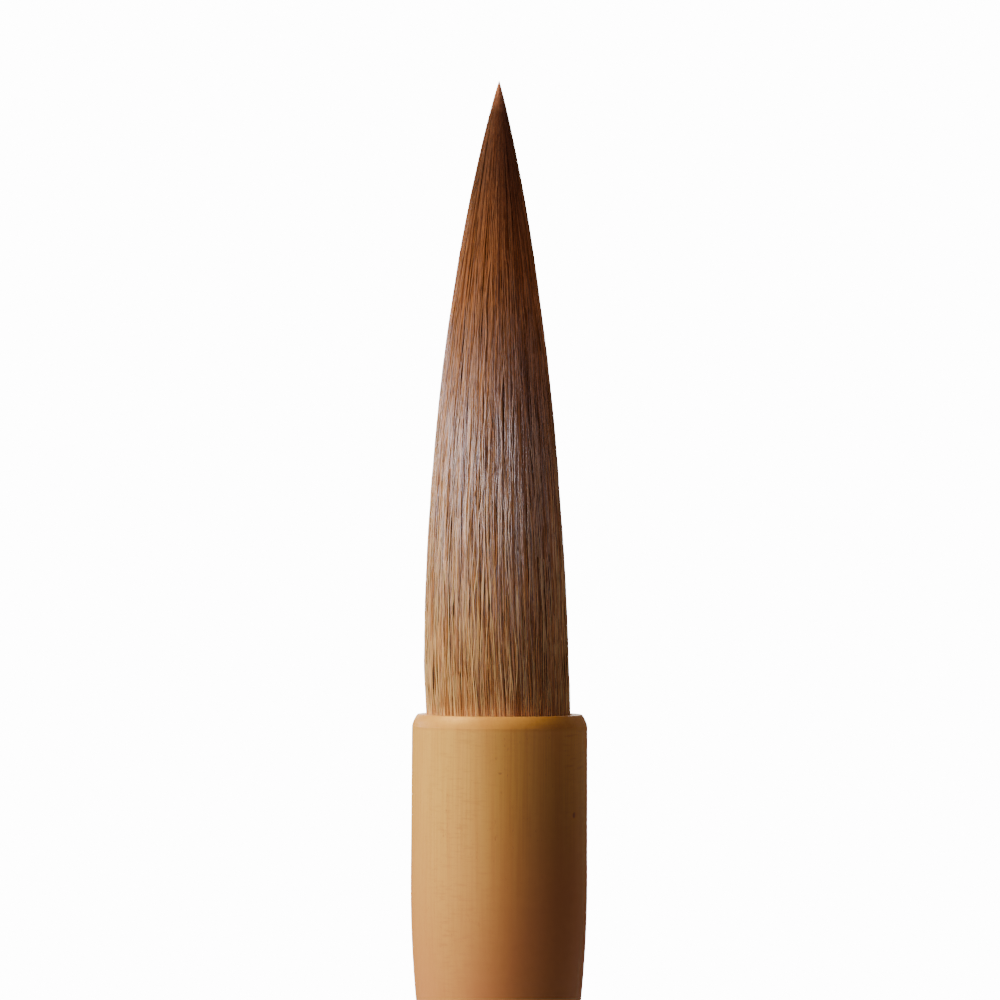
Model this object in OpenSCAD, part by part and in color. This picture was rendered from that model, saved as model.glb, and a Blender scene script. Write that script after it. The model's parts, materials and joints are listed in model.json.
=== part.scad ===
// Calligraphy brush: a pointed hair tuft set in a full-bodied turned wooden ferrule,
// on a straight wooden shaft with a separate tail cap. All sizes are in millimetres.
//
// The brush stands along +Z with its hair tip at the top. The origin is the centre of
// the tail end. Hair is one bundle on the real brush; here it is cut into four zones
// (waist, belly, throat and tip) that meet in ball seats, so that the bundle can bend.

/* [Tuft] */
// Diameter of the tuft where it leaves the ferrule
tuft_d = 12; // [8:0.5:16]
// Length of hair that shows above the ferrule
tuft_len = 52.4; // [42:0.2:62]
// Exponent of the outline: lower is fuller towards the tip
tuft_fullness = 0.9; // [0.7:0.05:1.1]
// Thickness of the cover hair at the root
cover_root = 0.5; // [0.3:0.05:0.8]
// Length of root held inside the ferrule
root_len = 11; // [8:0.5:14]
// Diameter of the thread that ties the root
thread_d = 0.5; // [0.4:0.05:0.6]
// Number of turns of that thread
thread_turns = 6; // [4:1:8]

/* [Bending] */
// Bend each way where the waist meets the belly, in degrees
waist_bend = 20; // [10:1:25]
// Bend each way where the belly meets the throat, in degrees
belly_bend = 30; // [15:1:35]
// Bend each way where the throat meets the tip, in degrees
throat_bend = 40; // [20:1:45]

/* [Ferrule] */
// Wood between the tuft and the fullest part of the ferrule
ferrule_wall = 1.35; // [1:0.05:2.5]
// Length from the mouth to where the ferrule starts to narrow
barrel_len = 14; // [12:0.5:20]
// Radius of the outward curve below the barrel
shoulder_r = 100; // [60:5:140]
// Radius of the inward curve that runs into the shaft
neck_r = 60; // [40:5:100]

/* [Shaft] */
// Diameter of the shaft
shaft_d = 9.3; // [7:0.1:10]
// Length of the shaft between the ferrule and the tail cap
shaft_len = 142; // [100:1:180]

/* [Tail cap] */
// Length of the tail cap
cap_len = 12; // [8:0.5:20]
// Diameter of the hole for a hanging cord
cord_hole_d = 2.5; // [1.5:0.1:2.8]

/* [Hidden] */
$fn = 96;
steps = 12;                       // points along a curved outline
slip = 0.05;                      // clearance of a sliding or glued fit
skin_gap = 0.02;                  // clearance between cover hair and core hair
over = 1;                         // how far a cutter runs past the face it opens

ferrule_d = tuft_d + 2 * ferrule_wall;
ferrule_end_r = shaft_d / 2 + slip;
neck_angle = acos(1 - (ferrule_d / 2 - ferrule_end_r) / (shoulder_r + neck_r));
neck_len = (shoulder_r + neck_r) * sin(neck_angle);
ferrule_len = barrel_len + neck_len;
rim_run = 0.45;                   // how far in, and down, the mouth's edge is rounded
rim_drop = 1.0;
rim_r = 2.4;
barrel_swell = 0.05;              // the barrel widens by this much below the rim
socket_r = tuft_d / 2 + slip;     // the tuft's seat in the mouth
glue_t = 0.5;                     // glue under the root
socket_len = root_len + glue_t;

tenon_r = 3;                      // joint between the shaft and the ferrule
tenon_len = 13;
tenon_bevel = 0.5;
tenon_room = 0.5;                 // left at the end of each tenon for surplus glue
cap_tenon_r = 2.6;                // joint between the tail cap and the shaft
cap_tenon_len = 9;
knot_r = 1.8;                     // room in the tail cap for a cord's knot
joint_chamfer = 0.15;             // broken edge where two wooden pieces meet
cap_flat_r = 2.4;                 // flat round the cord hole
cap_dome_r = 5;                   // rounding of the tail end, and its height
cap_dome_h = 3.6;
countersink = 0.3;

shaft_z = cap_len;
ferrule_z = shaft_z + shaft_len;
mouth_z = ferrule_z + ferrule_len;

seared_t = 0.4;                   // crust of hair fused at the root end
root_squeeze = 0.55;              // how much the tie narrows the root
squeeze_len = 4.5;                // how far below the mouth the root is at its narrowest
tied_r = tuft_d / 2 - root_squeeze;
thread_pitch = thread_d + skin_gap;
thread_clear = 0.9;               // hair left below the tie
glue_wall = 0.6;                  // how far the glue climbs past the seared end
thread_sides = 6;                 // flats round the thread's section
thread_rings = 24;                // sections in one turn of it
helix_r = (tied_r + thread_d / 2 + skin_gap) / cos(180 / thread_rings);
cover_reach = 0.93 * tuft_len;    // the cover hair has thinned to nothing here
cover_end = 0.89 * tuft_len;      // and is cut off here
point_len = 1;                    // the last of the tip runs straight to a point

hinge_h = [0.23 * tuft_len, 0.52 * tuft_len, 0.79 * tuft_len];   // above the mouth
bend = [waist_bend, belly_bend, throat_bend];
bend_spare = 1;                   // degrees left open past each limit
ball_share = 0.85;                // ball seat's share of the core's radius

// ---- Outlines, as [radius, height] ------------------------------------------------

// Points of an arc round centre c, from angle a0 to angle a1
function arc(c, r, a0, a1) =
    [for (k = [0:steps]) let (a = a0 + (a1 - a0) * k / steps) c + r * [cos(a), sin(a)]];

// Points of an arc of radius r from p to q, bulging to the right of the way it runs
function arc_between(p, q, r) =
    let (
        along = (q - p) / norm(q - p),
        inward = [-along[1], along[0]],
        c = (p + q) / 2 + inward * sqrt(r * r - pow(norm(q - p) / 2, 2)),
        a0 = atan2(p[1] - c[1], p[0] - c[0]),
        a1 = atan2(q[1] - c[1], q[0] - c[0])
    )
    arc(c, r, a0, a1);

// Radius of the whole tuft at height h above the mouth
function tuft_r(h) = tuft_d / 2 * pow(1 - pow(h / tuft_len, 2), tuft_fullness);

// Radius of the tied root at depth -h below the mouth
function root_r(h) =
    let (share = min(1, -h / squeeze_len))
    tuft_d / 2 - root_squeeze * (1 - cos(180 * share)) / 2;

function cover_t(h) =
    h <= 0 ? cover_root : h >= cover_reach ? 0 : cover_root * sqrt(1 - h / cover_reach);

// Outside radius of the cover hair and of the core hair at any height
function outer_r(h) = h < 0 ? root_r(h) : tuft_r(h);
function core_r(h) = outer_r(h) - cover_t(h);

// Height at which an outline meets the bevel above (side 1) or below (side -1) hinge i
function bevel_h(i, r, side) = hinge_h[i] + side * r * tan(bend[i] / 2 + bend_spare);

// Sides of a zone between two heights: its core, its cover, and its cover's inner face
function core_side(h0, h1) =
    [for (k = [0:steps]) let (h = h0 + (h1 - h0) * k / steps) [core_r(h), h]];
function skin_side(h0, h1) =
    [for (k = [0:steps]) let (h = h0 + (h1 - h0) * k / steps) [outer_r(h), h]];
function lining_side(h0, h1) =
    [for (k = [0:steps]) let (h = h0 + (h1 - h0) * k / steps) [core_r(h) + skin_gap, h]];

// ---- Hair -------------------------------------------------------------------------

module core_hair() color([0.47, 0.27, 0.14]) children();
module cover_hair() color([0.62, 0.43, 0.29]) children();

module at_mouth() translate([0, 0, mouth_z]) children();

module ball(i, extra = 0) {
    translate([0, 0, hinge_h[i]]) sphere(r = ball_share * core_r(hinge_h[i]) + extra);
}

module turned(outline) rotate_extrude() polygon(outline);

// Hair between hinge i and hinge i + 1: it carries its ball and receives the next one
module zone_core(i) {
    low = bevel_h(i, core_r(hinge_h[i]), 1);
    high = bevel_h(i + 1, core_r(hinge_h[i + 1]), -1);
    difference() {
        union() {
            turned(concat([[0, hinge_h[i]]], core_side(low, high), [[0, hinge_h[i + 1]]]));
            ball(i);
        }
        ball(i + 1, slip);
    }
}

// Cover hair between hinge i and hinge i + 1
module zone_cover(i) {
    low = [bevel_h(i, core_r(hinge_h[i]), 1), bevel_h(i, outer_r(hinge_h[i]), 1)];
    high = [
        bevel_h(i + 1, core_r(hinge_h[i + 1]), -1),
        bevel_h(i + 1, outer_r(hinge_h[i + 1]), -1)
    ];
    turned(concat(skin_side(low[1], high[1]), lining_side(high[0], low[0])));
}

module waist_core() core_hair() at_mouth() {
    foot = -root_len + seared_t;
    high = bevel_h(0, core_r(hinge_h[0]), -1);
    difference() {
        turned(concat(
            [[0, foot]],
            [[core_r(foot), foot]],
            core_side(-squeeze_len, 0),
            core_side(high / steps, high),
            [[0, hinge_h[0]]]
        ));
        ball(0, slip);
    }
}

module waist_cover() cover_hair() at_mouth() {
    foot = -root_len + seared_t;
    high_in = bevel_h(0, core_r(hinge_h[0]), -1);
    high_out = bevel_h(0, outer_r(hinge_h[0]), -1);
    turned(concat(
        [[outer_r(foot), foot]],
        skin_side(-squeeze_len, 0),
        skin_side(high_out / steps, high_out),
        lining_side(high_in, high_in / steps),
        lining_side(0, -squeeze_len),
        [[core_r(foot) + skin_gap, foot]]
    ));
}

module belly_core() core_hair() at_mouth() zone_core(0);
module belly_cover() cover_hair() at_mouth() zone_cover(0);
module throat_core() core_hair() at_mouth() zone_core(1);
module throat_cover() cover_hair() at_mouth() zone_cover(1);

module tip_core() core_hair() at_mouth() {
    low = bevel_h(2, core_r(hinge_h[2]), 1);
    turned(concat([[0, hinge_h[2]]], core_side(low, tuft_len - point_len), [[0, tuft_len]]));
    ball(2);
}

module tip_cover() cover_hair() at_mouth() {
    low_in = bevel_h(2, core_r(hinge_h[2]), 1);
    low_out = bevel_h(2, outer_r(hinge_h[2]), 1);
    turned(concat(skin_side(low_out, cover_end), lining_side(cover_end, low_in)));
}

// ---- Root fittings inside the ferrule ---------------------------------------------

// The hair ends, fused into a hard crust with a hot iron
module seared_root() color([0.10, 0.07, 0.05]) at_mouth() {
    translate([0, 0, -root_len]) cylinder(r = tied_r - slip, h = seared_t - skin_gap);
}

// Glue between the root and the floor and wall of its socket
module glue_bed() color([0.80, 0.68, 0.42]) at_mouth() {
    wall_h = glue_t + seared_t + glue_wall;
    translate([0, 0, -socket_len]) difference() {
        cylinder(r = socket_r - skin_gap, h = wall_h);
        translate([0, 0, glue_t - skin_gap]) cylinder(r = tied_r + skin_gap, h = wall_h);
    }
}

// Points of one round of the thread's section at angle a along the helix
function thread_ring(a) =
    [for (k = [0:thread_sides - 1]) let (
        b = 360 * k / thread_sides,
        x = helix_r + thread_d / 2 * cos(b),
        z = thread_pitch * a / 360 + thread_d / 2 * sin(b)
    ) [x * cos(a), x * sin(a), z]];

// Hemp thread wound round the root; both ends are cut flush
module binding_thread() color([0.86, 0.80, 0.66]) at_mouth() {
    rings = thread_turns * thread_rings;
    n = thread_sides;
    points = [for (k = [0:rings]) each thread_ring(360 * k / thread_rings)];
    skin = [for (k = [0:rings - 1], j = [0:n - 1]) let (
        a = k * n + j,
        b = k * n + (j + 1) % n
    ) [a, a + n, b + n, b]];
    start = [for (j = [0:n - 1]) j];
    end = [for (j = [n - 1:-1:0]) rings * n + j];
    translate([0, 0, -root_len + seared_t + thread_clear + thread_d / 2])
        polyhedron(points, concat(skin, [start], [end]), convexity = 8);
}

// ---- Wooden handle ----------------------------------------------------------------

module wood() color([0.80, 0.62, 0.40]) children();

module ferrule() wood() translate([0, 0, ferrule_z]) {
    full_r = ferrule_d / 2;
    rim_low = [full_r - barrel_swell, ferrule_len - rim_drop];
    rim_top = [full_r - barrel_swell - rim_run, ferrule_len];
    difference() {
        turned(concat(
            [[0, 0], [ferrule_end_r - joint_chamfer, 0]],
            [[ferrule_end_r, joint_chamfer]],
            arc([ferrule_end_r + neck_r, joint_chamfer], neck_r, 180, 180 - neck_angle),
            arc([full_r - shoulder_r, neck_len], shoulder_r, -neck_angle, 0),
            arc_between(rim_low, rim_top, rim_r),
            [[0, ferrule_len]]
        ));
        translate([0, 0, ferrule_len - socket_len])
            cylinder(r = socket_r, h = socket_len + over);
        translate([0, 0, -over])
            cylinder(r = tenon_r + slip, h = over + tenon_len + tenon_room);
    }
}

module shaft() wood() translate([0, 0, shaft_z]) {
    r = shaft_d / 2;
    difference() {
        turned([
            [0, 0], [r - joint_chamfer, 0], [r, joint_chamfer],
            [r, shaft_len - joint_chamfer], [r - joint_chamfer, shaft_len],
            [tenon_r, shaft_len], [tenon_r, shaft_len + tenon_len - tenon_bevel],
            [tenon_r - tenon_bevel, shaft_len + tenon_len], [0, shaft_len + tenon_len]
        ]);
        translate([0, 0, -over])
            cylinder(r = cap_tenon_r + slip, h = over + cap_tenon_len + tenon_room);
    }
}

module tail_cap() wood() {
    r = shaft_d / 2;
    hole_r = cord_hole_d / 2;
    difference() {
        turned(concat(
            [[0, 0]],
            arc_between([cap_flat_r, 0], [r, cap_dome_h], cap_dome_r),
            [[r, cap_len - joint_chamfer], [r - joint_chamfer, cap_len]],
            [[cap_tenon_r, cap_len], [cap_tenon_r, cap_len + cap_tenon_len]],
            [[0, cap_len + cap_tenon_len]]
        ));
        translate([0, 0, -over]) cylinder(r = hole_r, h = cap_len + 2 * over);
        translate([0, 0, cap_len]) cylinder(r = knot_r, h = cap_tenon_len + over);
        cylinder(r1 = hole_r + countersink, r2 = hole_r, h = countersink);
    }
}

// ---- Nodes ------------------------------------------------------------------------

ferrule();
shaft();
tail_cap();
glue_bed();
seared_root();
binding_thread();
waist_core();
waist_cover();
belly_core();
belly_cover();
throat_core();
throat_cover();
tip_core();
tip_cover();
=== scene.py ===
"""Looks of the calligraphy brush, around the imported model. Metres, +Z from the tail to the hair tip."""
import json
import math

import bmesh
import bpy
import numpy as np
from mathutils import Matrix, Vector


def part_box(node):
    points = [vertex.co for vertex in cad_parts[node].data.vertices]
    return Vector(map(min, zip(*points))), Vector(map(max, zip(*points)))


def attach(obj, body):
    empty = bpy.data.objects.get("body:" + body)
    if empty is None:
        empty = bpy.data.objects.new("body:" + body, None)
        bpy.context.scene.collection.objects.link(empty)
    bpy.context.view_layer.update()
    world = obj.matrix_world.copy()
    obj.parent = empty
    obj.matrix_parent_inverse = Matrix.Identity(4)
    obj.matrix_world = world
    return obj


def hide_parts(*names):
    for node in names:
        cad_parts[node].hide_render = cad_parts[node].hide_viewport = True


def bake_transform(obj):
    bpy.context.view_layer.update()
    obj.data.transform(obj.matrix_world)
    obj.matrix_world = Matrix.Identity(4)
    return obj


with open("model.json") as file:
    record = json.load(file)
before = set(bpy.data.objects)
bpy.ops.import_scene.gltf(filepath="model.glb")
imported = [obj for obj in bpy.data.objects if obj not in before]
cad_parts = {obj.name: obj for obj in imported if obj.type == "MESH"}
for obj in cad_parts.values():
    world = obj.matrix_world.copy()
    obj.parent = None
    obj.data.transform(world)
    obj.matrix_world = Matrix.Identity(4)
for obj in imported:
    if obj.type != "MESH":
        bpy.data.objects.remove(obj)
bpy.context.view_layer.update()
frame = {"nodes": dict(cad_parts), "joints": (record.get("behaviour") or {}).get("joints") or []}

MM = 0.001
rng = np.random.default_rng(20)

# ---- Places, all read from the frame ----------------------------------------------------

MOUTH_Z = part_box("ferrule")[1][2]
TIP_REACH = 0.3 * MM                            # the longest hairs end this far past the CAD point
TIP_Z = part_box("tip_core")[1][2] + TIP_REACH
TUFT_LEN = TIP_Z - MOUTH_Z
TUFT_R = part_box("waist_cover")[1][0]
HINGE_Z = {j["name"]: j["pos_m"][2] for j in frame["joints"]}

ROOT_Z = MOUTH_Z - 1.6 * MM                     # where the strands start, inside the ferrule
BELLY_CUT = (HINGE_Z["waist_bend"] + HINGE_Z["belly_bend"]) / 2
THROAT_CUT = (HINGE_Z["belly_bend"] + HINGE_Z["throat_bend"]) / 2

# Each zone of visible hair crosses one joint: its ends, the bodies and where the bend runs
ZONES = {
    "waist": (ROOT_Z, BELLY_CUT, "handle", "belly", MOUTH_Z + 3.5 * MM, BELLY_CUT),
    "belly": (BELLY_CUT, THROAT_CUT, "belly", "throat", BELLY_CUT, THROAT_CUT),
    "tip": (THROAT_CUT, TIP_Z, "throat", "tip", THROAT_CUT, 2 * HINGE_Z["throat_bend"] - THROAT_CUT),
}

# ---- Camera and light -------------------------------------------------------------------

VIEW_DISTANCE = 0.508
VIEW_X = -0.06 * MM
VIEW_Z = MOUTH_Z + 17.8 * MM
LENS_MM = 220
VIEW_ROLL = math.radians(-0.25)


def make_camera():
    data = bpy.data.cameras.new("camera")
    data.lens = LENS_MM
    data.sensor_width = 36
    data.clip_start = 0.01
    cam = bpy.data.objects.new("camera", data)
    cam.location = (VIEW_X, -VIEW_DISTANCE, VIEW_Z)
    cam.rotation_euler = (math.radians(90), VIEW_ROLL, 0)
    bpy.context.scene.collection.objects.link(cam)
    bpy.context.scene.camera = cam


# How a lamp is seen: by every surface, only in reflections, or only as matt light
FULL = (True, True)
SHEEN = (False, True)
MATT = (True, False)

# Name, azimuth, elevation, distance, (width, height), power, colour, how it is seen.
# A matt strip and a high key give the shape, the sheen lamps gloss the hair and the lacquer,
# and weak lamps open up the far sides.
LAMPS = [
    ("strip", 64, 9, 0.9, (0.7, 0.07), 6.0, (1.0, 0.93, 0.92), MATT),
    ("key", 84, 48, 0.95, (0.5, 0.45), 15.0, (1.0, 0.97, 0.54), FULL),
    ("fill", -45, 8, 1.05, (0.6, 0.6), 0.5, (1.0, 0.84, 0.98), FULL),
    ("sheen_left", 68, 9, 0.9, (0.75, 0.06), 1.8, (0.94, 0.9, 1.0), SHEEN),
    ("sheen_front", 34, 9, 0.9, (0.5, 0.06), 1.6, (0.94, 0.9, 1.0), SHEEN),
    ("rim", -142, 14, 0.95, (0.5, 0.5), 1.6, (1.0, 0.95, 0.95), MATT),
    ("sheen_edge", 122, 11, 0.9, (0.5, 0.05), 1.5, (0.84, 0.86, 1.0), SHEEN),
    ("back", 174, 22, 0.95, (0.6, 0.5), 3.5, (1.0, 0.97, 0.9), FULL),
]
SPOT_DISTANCE = 0.6
SPOT_RISE = 0.06
BACKDROP_STRENGTH = 14.0
AMBIENT_STRENGTH = 0.06


def area_light(name, place, target, size, power, colour, seen):
    """A soft rectangular lamp at place that faces target; size is (width, height)."""
    data = bpy.data.lights.new(name, "AREA")
    data.shape = "RECTANGLE"
    data.size, data.size_y = size
    data.energy = power
    data.color = colour
    lamp = bpy.data.objects.new(name, data)
    lamp.location = place
    facing = Vector(target) - Vector(place)
    lamp.rotation_euler = facing.to_track_quat("-Z", "Y").to_euler()
    lamp.visible_diffuse, lamp.visible_glossy = seen
    bpy.context.scene.collection.objects.link(lamp)


def lamp_place(azimuth, elevation, distance):
    """A place round the tuft's middle; azimuth runs from the camera's side towards -X, in degrees."""
    a, e = math.radians(azimuth), math.radians(elevation)
    flat = distance * math.cos(e)
    return (-flat * math.sin(a), -flat * math.cos(a), VIEW_Z + distance * math.sin(e))


def make_lights():
    middle = (0, 0, VIEW_Z)
    for name, azimuth, elevation, distance, size, power, colour, seen in LAMPS:
        place = lamp_place(azimuth, elevation, distance)
        area_light(name, place, middle, size, power, colour, seen)
    tuft_spot("tuft_spot", -1 * MM, TUFT_LEN + 3 * MM, 52, 1.6, (1.0, 0.80, 0.62), 0.25)
    tuft_spot("upper_spot", 0.5 * TUFT_LEN, TUFT_LEN + 8 * MM, 26, 2.6, (1.0, 0.88, 0.92), 0.9)


def tuft_spot(name, low, high, azimuth, power, colour, blend):
    """A matt light on the hair, from low to high above the mouth; azimuth runs towards +X."""
    spot = bpy.data.lights.new(name, "SPOT")
    spot.energy = power
    spot.color = colour
    spot.shadow_soft_size = 0.01
    spot.spot_size = 2 * math.atan((high - low) / 2 / SPOT_DISTANCE)
    spot.spot_blend = blend
    aim = Vector((0, 0, MOUTH_Z + (low + high) / 2))
    a = math.radians(azimuth)
    lamp = bpy.data.objects.new(name, spot)
    lamp.visible_glossy = False
    lamp.location = aim + Vector((SPOT_DISTANCE * math.sin(a), -SPOT_DISTANCE * math.cos(a), SPOT_RISE))
    lamp.rotation_euler = (aim - lamp.location).to_track_quat("-Z", "Y").to_euler()
    bpy.context.scene.collection.objects.link(lamp)


def make_world():
    """White to the eye, dim and warm as a light, as in a tent with one lamp."""
    world = bpy.data.worlds.new("studio")
    world.use_nodes = True
    bpy.context.scene.world = world
    tree = world.node_tree
    seen = tree.nodes["Background"]
    seen.inputs["Color"].default_value = (1, 1, 1, 1)
    seen.inputs["Strength"].default_value = BACKDROP_STRENGTH
    lit = tree.nodes.new("ShaderNodeBackground")
    lit.inputs["Color"].default_value = (1.0, 0.96, 0.92, 1)
    lit.inputs["Strength"].default_value = AMBIENT_STRENGTH
    path = tree.nodes.new("ShaderNodeLightPath")
    mix = tree.nodes.new("ShaderNodeMixShader")
    tree.links.new(path.outputs["Is Camera Ray"], mix.inputs[0])
    tree.links.new(lit.outputs[0], mix.inputs[1])
    tree.links.new(seen.outputs[0], mix.inputs[2])
    tree.links.new(mix.outputs[0], tree.nodes["World Output"].inputs["Surface"])


# ---- Materials --------------------------------------------------------------------------


def srgb(r, g, b):
    """A linear colour from 0-255 display values."""
    return tuple((v / 255 / 12.92) if v < 10.3 else ((v / 255 + 0.055) / 1.055) ** 2.4 for v in (r, g, b))


class Shader:
    """A Principled material and short calls that add nodes to it and return their outputs."""

    def __init__(self, name):
        self.material = bpy.data.materials.new(name)
        self.material.use_nodes = True
        self.tree = self.material.node_tree
        self.surface = self.tree.nodes["Principled BSDF"]

    def node(self, kind, inputs=None, output=0, **settings):
        made = self.tree.nodes.new("ShaderNode" + kind)
        for key, value in settings.items():
            setattr(made, key, value)
        for key, value in (inputs or {}).items():
            self.plug(made.inputs[key], value)
        return made.outputs[output]

    def plug(self, socket, value):
        if isinstance(value, bpy.types.NodeSocket):
            self.tree.links.new(value, socket)
        elif isinstance(value, tuple) and len(value) == 3 and socket.type == "RGBA":
            socket.default_value = (*value, 1)
        else:
            socket.default_value = value

    def set(self, **values):
        for key, value in values.items():
            self.plug(self.surface.inputs[key.replace("_", " ")], value)

    def ramp(self, value, stops, smooth=False):
        """A colour or grey that runs through stops, [(position, colour or grey)]."""
        out = self.node("ValToRGB", {0: value})
        band = out.node.color_ramp
        band.interpolation = "EASE" if smooth else "LINEAR"
        while len(band.elements) < len(stops):
            band.elements.new(0.5)
        for element, (place, colour) in zip(band.elements, stops):
            element.position = place
            colour = colour if isinstance(colour, tuple) else (colour, colour, colour)
            element.color = (*colour, 1)
        return out

    def mix(self, share, a, b, how="MIX"):
        made = self.node("Mix", data_type="RGBA", blend_type=how, output=2).node
        self.plug(made.inputs[0], share)
        self.plug(made.inputs[6], a)
        self.plug(made.inputs[7], b)
        return made.outputs[2]

    def math(self, how, a, b=0.0):
        return self.node("Math", {0: a, 1: b}, operation=how)

    def remap(self, value, low, high, to_low=0.0, to_high=1.0):
        return self.node("MapRange", {0: value, 1: low, 2: high, 3: to_low, 4: to_high})

    def stretched(self, vector, scale):
        return self.node("Mapping", {"Vector": vector, "Scale": scale})

    def noise(self, vector, scale, detail=2.0, roughness=0.5):
        inputs = {"Vector": vector, "Scale": scale, "Detail": detail, "Roughness": roughness}
        return self.node("TexNoise", inputs)

    def bump(self, height, strength, distance):
        inputs = {"Strength": strength, "Distance": distance, "Height": height}
        return self.node("Bump", inputs)


def hair_material(name, pale, mid, dark, gloss, shine):
    """Animal hair. The mesh gives tone (0-1 per strand), along (0 root - 1 tip) and rest (place)."""
    s = Shader(name)
    tone = s.node("Attribute", attribute_name="tone", output=2)
    along = s.node("Attribute", attribute_name="along", output=2)
    rest = s.node("Attribute", attribute_name="rest", output=1)
    colours = [s.ramp(along, stops) for stops in (dark, mid, pale)]
    low = s.mix(s.remap(tone, 0.15, 0.5), colours[0], colours[1])
    hair = s.mix(s.remap(tone, 0.5, 0.95), low, colours[2])
    fleck = s.noise(s.stretched(rest, (1.0, 1.0, 0.03)), 11000, 3, 0.6)
    hair = s.mix(0.5, hair, s.ramp(fleck, [(0.3, 0.32), (0.62, 0.86)]), "OVERLAY")
    patch = s.noise(s.stretched(rest, (1.0, 1.0, 0.06)), 2200, 2, 0.5)
    hair = s.mix(s.remap(patch, 0.42, 0.7, 0.0, 0.35), hair, colours[0])
    lot = s.math("FRACT", s.math("MULTIPLY", tone, 91.7))       # some hairs gleam, others are dull
    gleam = s.ramp(lot, [(0.3, 0.12), (0.55, 1.0)])
    dull = s.math("MULTIPLY_ADD", s.remap(fleck, 0.35, 0.65), 0.10)
    s.plug(dull.node.inputs[2], s.ramp(along, gloss))
    reflect = s.math("MULTIPLY", s.ramp(along, shine), gleam)
    s.set(Base_Color=hair, Roughness=dull, Specular_IOR_Level=reflect)
    s.surface.inputs["IOR"].default_value = 1.7
    s.surface.inputs["Sheen Weight"].default_value = 0.08
    s.surface.inputs["Sheen Roughness"].default_value = 0.5
    s.surface.inputs["Sheen Tint"].default_value = (0.95, 0.72, 0.55, 1)
    s.plug(s.surface.inputs["Normal"], s.bump(fleck, 0.25, 0.02 * MM))
    return s.material


END_GRAIN = (0.68, 0.25, 0.04)
CHAMFER = 1.1 * MM                              # how far the end grain's colour reaches below the mouth
PAINTED_SHADE_REACH = 5 * MM                            # the painted shade grows from -x to +x, the side away from the lamps, over this


def wood_material(name, light, mid, deep, painted_shade_colour, fleck_amount):
    """Close-grained honey wood under a satin clear lacquer; the grain runs along Z. Painted shade turns it
    redder and darker towards +X and lower down.
    """
    s = Shader(name)
    place = s.node("TexCoord", output=3)
    fibre = s.noise(s.stretched(place, (1.0, 1.0, 0.018)), 5200, 4, 0.6)
    broad = s.noise(s.stretched(place, (1.0, 1.0, 0.05)), 420, 3, 0.55)
    figure = s.noise(s.stretched(place, (1.0, 1.0, 0.12)), 150, 2, 0.5)
    colour = s.ramp(broad, [(0.28, mid), (0.5, light), (0.74, mid)], smooth=True)
    colour = s.mix(s.remap(fibre, 0.45, 0.72, 0.0, 0.42), colour, deep)
    colour = s.mix(s.remap(figure, 0.5, 0.72, 0.0, 0.28), colour, deep)
    pore = s.noise(s.stretched(place, (1.0, 1.0, 0.4)), 5000, 2, 0.5)
    pores = s.remap(pore, 0.68, 0.76)
    colour = s.mix(s.math("MULTIPLY", pores, 0.4), colour, (0.42, 0.13, 0.03))
    spots = s.node("TexVoronoi", {"Vector": s.stretched(place, (1.0, 1.0, 0.8)), "Scale": 330.0})
    chance = s.noise(place, 400, 1, 0.5)
    fleck = s.math("MULTIPLY", s.remap(spots, 0.08, 0.045), s.remap(chance, 0.50, 0.54))
    colour = s.mix(s.math("MULTIPLY", fleck, fleck_amount), colour, (0.30, 0.06, 0.02))
    ray = s.noise(s.stretched(place, (1.0, 1.0, 7.0)), 800, 3, 0.6)
    rays = s.math("MULTIPLY", s.remap(ray, 0.52, 0.68), s.remap(figure, 0.62, 0.42))
    colour = s.mix(s.math("MULTIPLY", rays, 0.5), colour, deep)
    # Painted shade: redder and darker towards +X, the side away from the lamps, and from 6 to 24 mm below
    # the mouth, where the turned surface narrows and faces down; the figure breaks it up.
    across = s.node("SeparateXYZ", {0: place}, output=0)
    up = s.node("SeparateXYZ", {0: place}, output=2)
    side = s.remap(across, -PAINTED_SHADE_REACH, PAINTED_SHADE_REACH, 0.0, 0.6)
    below = s.remap(up, MOUTH_Z - 6 * MM, MOUTH_Z - 24 * MM, 0.0, 0.85)
    painted_shade = s.math("MULTIPLY", s.math("ADD", side, below), s.remap(figure, 0.3, 0.6, 0.7, 1.0))
    colour = s.mix(painted_shade, colour, painted_shade_colour)
    chamfer = s.remap(up, MOUTH_Z - CHAMFER - 0.2 * MM, MOUTH_Z - CHAMFER + 0.2 * MM, 0.0, 0.45)
    colour = s.mix(chamfer, colour, END_GRAIN)
    s.set(Base_Color=colour, Roughness=s.remap(fibre, 0.3, 0.75, 0.38, 0.46), Metallic=0.04)
    s.surface.inputs["Specular IOR Level"].default_value = 0.5
    s.surface.inputs["Specular Tint"].default_value = (1.0, 0.62, 0.30, 1)
    height = s.math("SUBTRACT", s.math("MULTIPLY", fibre, 0.4), s.math("MULTIPLY", pores, 0.6))
    s.plug(s.surface.inputs["Normal"], s.bump(height, 0.35, 0.02 * MM))
    return s.material


def glue_material():
    """Amber resin, cloudy where the hair has soaked it up."""
    s = Shader("glue")
    place = s.node("TexCoord", output=3)
    cloud = s.noise(place, 700, 4, 0.6)
    amber = [(0.3, (0.50, 0.24, 0.06)), (0.55, (0.68, 0.40, 0.13)), (0.75, (0.78, 0.56, 0.26))]
    colour = s.ramp(cloud, amber)
    s.set(Base_Color=colour, Roughness=s.remap(cloud, 0.3, 0.7, 0.22, 0.4))
    s.plug(s.surface.inputs["Normal"], s.bump(cloud, 0.3, 0.05 * MM))
    return s.material


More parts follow.
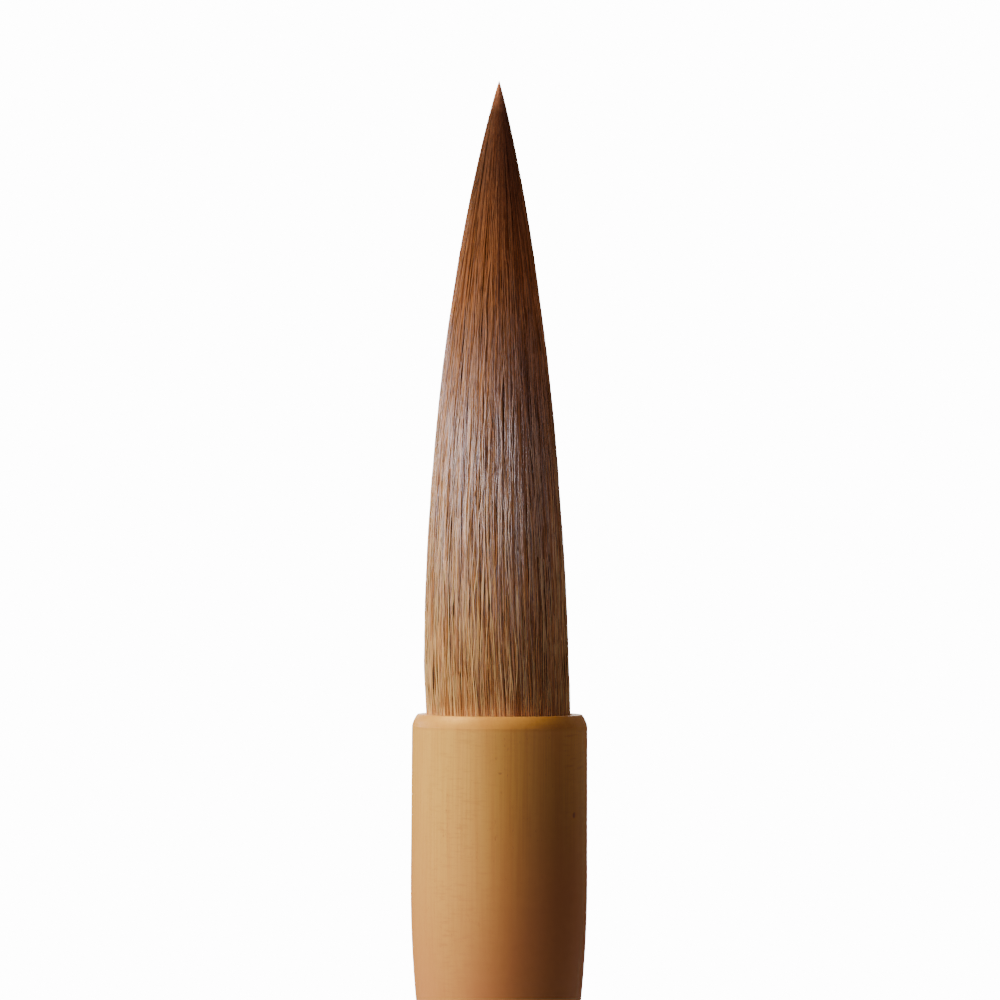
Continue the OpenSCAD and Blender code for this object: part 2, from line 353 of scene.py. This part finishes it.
def seared_material():
    """Hair ends fused by a hot iron: nearly black, with the hairs still showing lengthwise."""
    s = Shader("seared_hair")
    place = s.node("TexCoord", output=3)
    fibre = s.noise(s.stretched(place, (1.0, 1.0, 0.1)), 6000, 3, 0.6)
    crust = s.noise(place, 1500, 4, 0.7)
    charred = [(0.35, (0.006, 0.004, 0.003)), (0.55, (0.02, 0.012, 0.008)), (0.75, (0.06, 0.03, 0.014))]
    colour = s.ramp(fibre, charred)
    s.set(Base_Color=colour, Roughness=s.remap(crust, 0.3, 0.7, 0.45, 0.85))
    s.plug(s.surface.inputs["Normal"], s.bump(crust, 0.6, 0.08 * MM))
    return s.material


def thread_material():
    """Undyed hemp thread with its plies running across the winding."""
    s = Shader("hemp_thread")
    place = s.node("TexCoord", output=3)
    slant = s.node("Mapping", {"Vector": place, "Rotation": (0.0, 0.6, 0.4)})
    plies = s.node("TexWave", {"Vector": slant, "Scale": 900.0, "Distortion": 1.5, "Detail": 2.0}, output=1)
    fuzz = s.noise(place, 5000, 3, 0.6)
    colour = s.mix(plies, (0.50, 0.37, 0.20), (0.74, 0.62, 0.42))
    colour = s.mix(s.remap(fuzz, 0.5, 0.75, 0.0, 0.5), colour, (0.36, 0.25, 0.13))
    s.set(Base_Color=colour, Roughness=s.remap(fuzz, 0.3, 0.7, 0.7, 0.9))
    s.plug(s.surface.inputs["Normal"], s.bump(plies, 0.5, 0.05 * MM))
    return s.material


def floor_material():
    """Pale matt paint, tinted against the yellow key."""
    s = Shader("floor_paint")
    place = s.node("TexCoord", output=3)
    mottle = s.noise(place, 6, 3, 0.5)
    paint = s.ramp(mottle, [(0.3, srgb(206, 208, 240)), (0.7, srgb(213, 215, 247))])
    s.set(Base_Color=paint, Roughness=0.9)
    return s.material


# ---- Meshes -----------------------------------------------------------------------------


def add_mesh(name, points, faces, material, flat=()):
    """A piece from points and faces, smooth but for the faces in flat and the edges round them."""
    mesh = bpy.data.meshes.new(name)
    mesh.from_pydata(points.tolist() if hasattr(points, "tolist") else points, [], faces)
    mesh.materials.append(material)
    smooth = np.ones(len(faces), bool)
    smooth[list(flat)] = False
    mesh.polygons.foreach_set("use_smooth", smooth)
    mesh.update()
    crease = {key for face in flat for key in mesh.polygons[face].edge_keys}
    sharp = [tuple(sorted(edge.vertices)) in crease for edge in mesh.edges]
    mesh.attributes.new("sharp_edge", "BOOLEAN", "EDGE").data.foreach_set("value", sharp)
    piece = bpy.data.objects.new(name, mesh)
    bpy.context.scene.collection.objects.link(piece)
    return piece


def write_attributes(mesh, tone, along, rest):
    for name, values in (("tone", tone), ("along", along)):
        mesh.attributes.new(name, "FLOAT", "POINT").data.foreach_set("value", values.astype(np.float32))
    mesh.attributes.new("rest", "FLOAT_VECTOR", "POINT").data.foreach_set(
        "vector", rest.astype(np.float32).ravel()
    )


def smoothstep(x, low, high):
    t = np.clip((x - low) / (high - low), 0, 1)
    return t * t * (3 - 2 * t)


def tuft_r(z):
    """Radius of the tuft's outline at height z, a little pinched where the ferrule's mouth holds it."""
    u = np.clip((z - MOUTH_Z) / TUFT_LEN, 0, 1)
    pinch = 0.06 * MM * (1 - smoothstep(z, MOUTH_Z, MOUTH_Z + 2.5 * MM))
    return TUFT_R * (1 - u * u) ** 0.9 - pinch


def slope(z):
    """How much the tuft's surface faces up at height z, as the rise of its normal."""
    step = 0.05 * MM
    return (tuft_r(z - step) - tuft_r(z + step)) / (2 * step)


def lean(z):
    """How far the bundle's middle stands towards -X at height z: real hair is never quite straight."""
    u = (z - MOUTH_Z) / TUFT_LEN
    ease = smoothstep(z, MOUTH_Z - 0.5 * MM, MOUTH_Z + 5 * MM)
    held = smoothstep(z, MOUTH_Z - 1.4 * MM, MOUTH_Z)
    return -(0.12 * held + 0.14 * ease + 0.02 * u + 0.20 * np.sin(np.pi * np.clip(u, 0, 1))) * MM


def end_heights(share):
    """The height at which a strand ends, so that as many are left as the outline has room for."""
    z = np.linspace(MOUTH_Z + 6 * MM, TIP_Z, 400)
    left = np.maximum((tuft_r(z) / TUFT_R) ** 0.9, 0.03 * (z < TIP_Z - 0.6 * MM))
    return np.interp(1 - share, 1 - left, z)


ROUNDNESS = 0.36         # how much of its own roundness each hair shows; combed hair shades as one surface
FLATNESS = 0.45          # a hair's thickness to its width
SIDES = 3
CLUMPS = 64
CLUMP_PULL = 0.12        # radians, the most that a hair leans towards the middle of its clump


class Strands:
    """Centre lines and sizes of the visible hairs, as arrays with one value for each hair."""

    def __init__(self, count, depth, half_width, stray=0.0, lift=0.0, shade=0.48):
        self.count = count
        self.angle = (np.arange(count) + rng.uniform(-1, 1, count)) * 2 * math.pi / count
        self.end = end_heights(rng.uniform(0.0, 1.0, count))
        self.depth = depth * rng.uniform(0, 1, count) ** 1.3 - lift
        self.half = half_width * rng.uniform(0.75, 1.3, count)
        edges = np.sort(rng.uniform(0, 2 * math.pi, CLUMPS))
        clump = np.searchsorted(edges, self.angle % (2 * math.pi)) % CLUMPS
        centre = (edges - np.diff(edges, append=edges[0] + 2 * math.pi) / 2) % (2 * math.pi)
        away = (self.angle - centre[clump] + math.pi) % (2 * math.pi) - math.pi
        self.pull = np.clip(away, -CLUMP_PULL, CLUMP_PULL)
        clump_tone = 0.07 * rng.standard_normal(CLUMPS)[clump]
        self.tone = np.clip(shade + clump_tone + 0.33 * rng.standard_normal(count), 0, 1)
        self.waves = [
            (
                a * MM * rng.uniform(0.3, 1.0, count),
                rng.uniform(lo, hi, count) * MM,
                rng.uniform(0, 6.28, count),
            )
            for a, lo, hi in ((0.10 + stray, 16, 40), (0.07 + stray / 6, 6, 12), (0.015, 3, 5))
        ]
        self.clump_phase = rng.uniform(0, 6.28, CLUMPS)[clump]
        self.drift = stray * MM * rng.uniform(-2.5, 2.5, count)
        self.splay = (0.06 + stray) * MM * rng.standard_normal(count)
        self.weave = (rng.uniform(8, 20, count) * MM, rng.uniform(0, 6.28, count))

    def centre(self, which, z):
        """Centre, outward direction and half width of hairs which at heights z (hairs x rings)."""
        r = tuft_r(z)
        side = sum(
            a[which, None] * np.sin(2 * math.pi * (z - ROOT_Z) / w[which, None] + p[which, None])
            for a, w, p in self.waves
        )
        side = side + 0.10 * MM * np.sin((z - ROOT_Z) / (5 * MM) + self.clump_phase[which, None])
        side = side + self.drift[which, None] * (z - ROOT_Z) / TUFT_LEN
        side = side + self.splay[which, None] * np.exp((MOUTH_Z - z) / (2.5 * MM))
        ease = smoothstep(z, MOUTH_Z - 1 * MM, MOUTH_Z + 6 * MM)
        shrink = np.maximum(r / TUFT_R, 0.02)
        gather = 0.35 * smoothstep(z, MOUTH_Z, TIP_Z)
        angle = self.angle[which, None] - self.pull[which, None] * gather
        angle = angle + side * (0.25 + 0.75 * ease) / TUFT_R / np.sqrt(shrink)
        left = np.clip((self.end[which, None] - z) / (7 * MM), 0, 1)
        half = self.half[which, None] * (0.12 + 0.88 * left ** 0.7) * np.clip(shrink * 2.2, 0.12, 1)
        length, start = self.weave
        weave = 0.06 * MM * shrink * np.sin(2 * math.pi * z / length[which, None] + start[which, None])
        groove = 0.09 * MM * (np.abs(self.pull[which, None]) / CLUMP_PULL) ** 2 * shrink
        sink = 0.10 * MM * (1 - left) * shrink
        out = np.maximum(r - self.depth[which, None] * shrink - groove - sink + weave, 0)
        x = out * np.cos(angle) + lean(z)
        y = out * np.sin(angle)
        return np.stack([x, y, z], -1), angle, half


def strand_piece(name, strands, which, low, high, rings, material):
    """One mesh of closed three-sided hairs between two heights."""
    which = which[strands.end[which] > low + 0.3 * MM]
    top = np.minimum(strands.end[which], high)
    z = low + (top - low)[:, None] * np.linspace(0, 1, rings)[None, :]
    centre, angle, half = strands.centre(which, z)
    n = len(which)
    points = np.zeros((n, rings, SIDES, 3))
    facing = np.zeros((n, rings, SIDES, 3))
    for k in range(SIDES):
        turn = 2 * math.pi * k / SIDES
        out, along_side = FLATNESS * math.cos(turn), math.sin(turn)
        bend = ROUNDNESS * turn if k < 2 else ROUNDNESS * (turn - 2 * math.pi)
        facing[:, :, k, 0] = np.cos(angle + bend)
        facing[:, :, k, 1] = np.sin(angle + bend)
        facing[:, :, k, 2] = slope(z)
        points[:, :, k, 0] = centre[..., 0] + half * (out * np.cos(angle) - along_side * np.sin(angle))
        points[:, :, k, 1] = centre[..., 1] + half * (out * np.sin(angle) + along_side * np.cos(angle))
        points[:, :, k, 2] = centre[..., 2]
    flat = points.reshape(-1, 3)
    faces, caps = [], []
    for i in range(n):
        base = i * rings * SIDES
        for j in range(rings - 1):
            for k in range(SIDES):
                a = base + j * SIDES + k
                b = base + j * SIDES + (k + 1) % SIDES
                faces.append((a, b, b + SIDES, a + SIDES))
        last = base + (rings - 1) * SIDES
        caps += [len(faces), len(faces) + 1]
        faces += [(base + 2, base + 1, base), (last, last + 1, last + 2)]
    piece = add_mesh(name, flat, faces, material, caps)
    piece.data.normals_split_custom_set_from_vertices(facing.reshape(-1, 3))
    tone = np.repeat(strands.tone[which], rings * SIDES)
    write_attributes(piece.data, tone, (flat[:, 2] - ROOT_Z) / (TIP_Z - ROOT_Z), flat)
    return piece


def under_hair(name, low, high, material):
    """The closed body of hair below the visible strands, with shallow combed grooves; it takes the darkest
    hair colour, painted shade in the gaps between the strands.
    """
    rounds, rings = 240, 40
    angle = np.arange(rounds) * 2 * math.pi / rounds
    point = 0.3 * MM if high == TIP_Z else 0    # at the tip the last ring closes in a cone this long
    z = np.linspace(low, high - point, rings)
    wave = 0.04 * np.sin(angle * 47) + 0.03 * np.sin(angle * 83 + 1) + 0.03 * np.sin(angle * 19 + 2)
    r = tuft_r(z)
    share = r / TUFT_R
    smooth_r = r - 0.24 * MM * np.sqrt(share) * np.clip(share * 6, 0, 1)
    body = smooth_r[:, None] + wave[None, :] * MM * share[:, None]
    x = body * np.cos(angle) + lean(z)[:, None]
    y = body * np.sin(angle)
    points = np.stack([x, y, np.repeat(z[:, None], rounds, 1)], -1).reshape(-1, 3)
    ends = np.array([[lean(low), 0, low], [lean(high), 0, high]])
    points = np.vstack([points, ends])
    faces = []
    for j in range(rings - 1):
        ring, above = j * rounds, (j + 1) * rounds
        for k in range(rounds):
            n = (k + 1) % rounds
            faces.append((ring + k, ring + n, above + n, above + k))
    first, last = rings * rounds, rings * rounds + 1
    top = (rings - 1) * rounds
    sides = len(faces)
    faces += [((k + 1) % rounds, k, first) for k in range(rounds)]
    faces += [(top + k, top + (k + 1) % rounds, last) for k in range(rounds)]
    flat = range(sides, len(faces) - (rounds if point else 0))
    piece = add_mesh(name, points, faces, material, flat)
    along = (points[:, 2] - ROOT_Z) / (TIP_Z - ROOT_Z)
    # Tone 0.1 picks the darkest colour: painted shade seen between the strands.
    write_attributes(piece.data, np.full(len(points), 0.1), along, points)
    return piece


# ---- The tuft ---------------------------------------------------------------------------

# Hair colours from root (0) to tip (1), for the palest, middling and darkest hairs
HAIR_COLOURS = [
    (0.0, (0.84, 0.46, 0.20), (0.60, 0.255, 0.084), (0.27, 0.105, 0.034)),
    (0.22, (0.80, 0.43, 0.21), (0.50, 0.207, 0.077), (0.23, 0.086, 0.029)),
    (0.42, (0.62, 0.31, 0.155), (0.38, 0.148, 0.060), (0.17, 0.058, 0.019)),
    (0.56, (0.43, 0.18, 0.082), (0.265, 0.093, 0.034), (0.135, 0.042, 0.012)),
    # From 0.70 to 0.95 the hair's own darker colour is deepened further as painted shade, against the high
    # key that lights the upward-facing upper tuft.
    (0.70, (0.33, 0.115, 0.042), (0.20, 0.062, 0.020), (0.105, 0.030, 0.009)),
    (0.86, (0.16, 0.052, 0.023), (0.10, 0.031, 0.014), (0.072, 0.020, 0.008)),
    (0.95, (0.20, 0.067, 0.037), (0.125, 0.040, 0.021), (0.105, 0.033, 0.016)),
    # The pale orange point is painted light shining through the fine hair tips.
    (1.0, (0.74, 0.32, 0.20), (0.61, 0.245, 0.145), (0.48, 0.175, 0.10)),
]
PALE, MID, DARK = ([(row[0], row[tone]) for row in HAIR_COLOURS] for tone in (1, 2, 3))

# Roughness and reflection from root to tip: glossy in the middle, duller towards the point
GLOSS = [(0.0, 0.36), (0.25, 0.26), (0.45, 0.20), (0.6, 0.27), (0.74, 0.44), (1.0, 0.5)]
SHINE = [
    (0.0, 0.25), (0.12, 0.4), (0.24, 0.9), (0.33, 1.3), (0.46, 1.2),
    (0.56, 0.75), (0.65, 0.3), (0.74, 0.12), (1.0, 0.1),
]
CORE_GLOSS = [(0.0, 0.5), (1.0, 0.5)]
CORE_SHINE = [(0.0, 0.5), (1.0, 0.3)]

LOCKS = 8
RINGS = {"waist": 22, "belly": 16, "tip": 18}
STANDS_FOR = {
    "waist": ("waist_core", "waist_cover"),
    "belly": ("belly_core", "belly_cover", "throat_core", "throat_cover"),
    "tip": ("tip_core", "tip_cover"),
}


def make_tuft():
    hair = hair_material("cover_hair", PALE, MID, DARK, GLOSS, SHINE)
    # The body under the strands gets only the darker ramps, as painted shade between the strands.
    under = hair_material("core_hair", MID, DARK, DARK, CORE_GLOSS, CORE_SHINE)
    layers = {
        "lock": Strands(3200, 0.26 * MM, 0.044 * MM),
        # The pale stray and crossing hairs are partly the brush's own pale hairs and partly painted glints
        # of light on single hairs.
        "stray": Strands(300, 0.10 * MM, 0.034 * MM, stray=0.12, lift=0.03 * MM, shade=1.0),
        "cross": Strands(70, 0.04 * MM, 0.036 * MM, stray=0.4, lift=0.04 * MM, shade=1.0),
    }
    width = 2 * math.pi / LOCKS
    for zone, (low, high, lower, upper, bend_from, bend_to) in ZONES.items():
        body = under_hair(f"{zone}_under_hair", low, high, under)
        made = [body]
        for lock in range(LOCKS):
            start = 2 * math.pi * lock / LOCKS
            for kind, strands in layers.items():
                which = np.flatnonzero(((strands.angle - start) % (2 * math.pi)) < width)
                name = f"{zone}_{kind}_{lock + 1}"
                made.append(strand_piece(name, strands, which, low, high, RINGS[zone], hair))
        for piece in made:
            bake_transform(piece)
        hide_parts(*STANDS_FOR[zone])


# ---- Handle -----------------------------------------------------------------------------


def outline(node):
    """A turned CAD node's outline, [(radius, height)] from the axis round the solid to the axis."""
    mesh = frame["nodes"][node].data
    flat = [(round(math.hypot(v.co.x, v.co.y), 7), round(v.co.z, 7)) for v in mesh.vertices]
    joined = {}
    for edge in mesh.edges:
        a, b = (flat[v] for v in edge.vertices)
        if a != b:
            joined.setdefault(a, set()).add(b)
            joined.setdefault(b, set()).add(a)
    ends = [p for p, near in joined.items() if len(near) == 1]
    path = [min(ends or joined, key=lambda p: p[1])]
    while True:
        ahead = [p for p in joined[path[-1]] if p not in path]
        if not ahead:
            break
        path.append(min(ahead, key=lambda p: math.dist(p, path[-1])))
    if ends:
        return [(0.0, path[0][1]), *path, (0.0, path[-1][1])]
    return path


def refined(path, closed, radius=0.07 * MM, sharp=math.radians(20), steps=6):
    """The outline with its curves finely divided and each corner broken, as fine sanding leaves it."""
    p = [Vector(place) for place in path]
    n = len(p)
    spans = n if closed else n - 1
    run = [p[(i + 1) % n] - p[i] for i in range(spans)]

    def at_end(i):
        return not closed and i in (0, n - 1)

    def is_corner(i):
        return at_end(i) or run[i - 1].angle(run[i]) > sharp

    out = []
    for i in range(spans):
        j = (i + 1) % n
        way = run[i].normalized()
        reach = min(radius, run[i].length / 3)
        start = p[i] + way * reach if is_corner(i) and not at_end(i) else p[i]
        end = p[j] - way * reach if is_corner(j) and not at_end(j) else p[j]
        leave = way if is_corner(i) else (p[j] - p[i - 1]).normalized()
        arrive = way if is_corner(j) else (p[(j + 1) % n] - p[i]).normalized()
        length = (end - start).length
        parts = steps if leave.angle(arrive) > 1e-4 else 1
        for k in range(parts):
            t = k / parts
            out.append(
                start * (2 * t ** 3 - 3 * t * t + 1) + end * (3 * t * t - 2 * t ** 3)
                + (leave * (t ** 3 - 2 * t * t + t) + arrive * (t ** 3 - t * t)) * length
            )
        if is_corner(j):
            out.append(end)
            if not at_end(j):
                after = p[j] + run[j].normalized() * min(radius, run[j].length / 3)
                out += [end * (1 - t) ** 2 + p[j] * 2 * t * (1 - t) + after * t * t for t in (0.33, 0.67)]
    return out


def turned_piece(node, material, rounds=160):
    """A finely divided copy of a turned CAD node."""
    path = outline(node)
    closed = path[0][0] > 0
    turn = np.arange(rounds) * 2 * math.pi / rounds
    points, rows, faces = [], [], []
    for r, z in refined(path, closed):
        if r < 1e-7:
            rows.append([len(points)] * rounds)
            points.append((0, 0, z))
            continue
        rows.append(list(range(len(points), len(points) + rounds)))
        points += [(r * math.cos(a), r * math.sin(a), z) for a in turn]
    pairs = list(zip(rows, rows[1:])) + ([(rows[-1], rows[0])] if closed else [])
    for low, high in pairs:
        for k in range(rounds):
            n = (k + 1) % rounds
            faces.append(tuple(dict.fromkeys((low[k], low[n], high[n], high[k]))))
    piece = add_mesh(f"turned_{node}", points, faces, material)
    shape = bmesh.new()
    shape.from_mesh(piece.data)
    bmesh.ops.recalc_face_normals(shape, faces=shape.faces)
    shape.to_mesh(piece.data)
    shape.free()
    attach(piece, "handle")
    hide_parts(node)
    return piece


# Light, middling and deep colours of the wood, and the colour of its painted shade
FERRULE_COLOURS = (0.93, 0.50, 0.112), (0.87, 0.43, 0.097), (0.60, 0.235, 0.058), (0.73, 0.275, 0.103)
SHAFT_COLOURS = (0.84, 0.41, 0.103), (0.77, 0.35, 0.088), (0.59, 0.23, 0.055), (0.75, 0.30, 0.097)


def finish_handle():
    ferrule_wood = wood_material("ferrule_wood", *FERRULE_COLOURS, fleck_amount=0.9)
    shaft_wood = wood_material("shaft_wood", *SHAFT_COLOURS, fleck_amount=0.6)
    turned_piece("ferrule", ferrule_wood)
    turned_piece("shaft", shaft_wood)
    turned_piece("tail_cap", shaft_wood)


def finish_root():
    """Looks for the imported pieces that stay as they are, inside the ferrule."""
    looks = {
        "glue_bed": glue_material(),
        "seared_root": seared_material(),
        "binding_thread": thread_material(),
    }
    for node, material in looks.items():
        for slot in frame["nodes"][node].material_slots:
            slot.material = material


def make_floor():
    """A plain floor, just below the tail."""
    half = 0.6
    points = [(-half, -half, 0), (half, -half, 0), (half, half, 0), (-half, half, 0)]
    floor = add_mesh("floor", points, [(0, 1, 2, 3)], floor_material(), [0])
    floor.location.z = -0.2 * MM
    floor.visible_diffuse = False               # its bounce would wash out the shaded side


make_camera()
make_lights()
make_world()
make_tuft()
finish_handle()
finish_root()
make_floor()
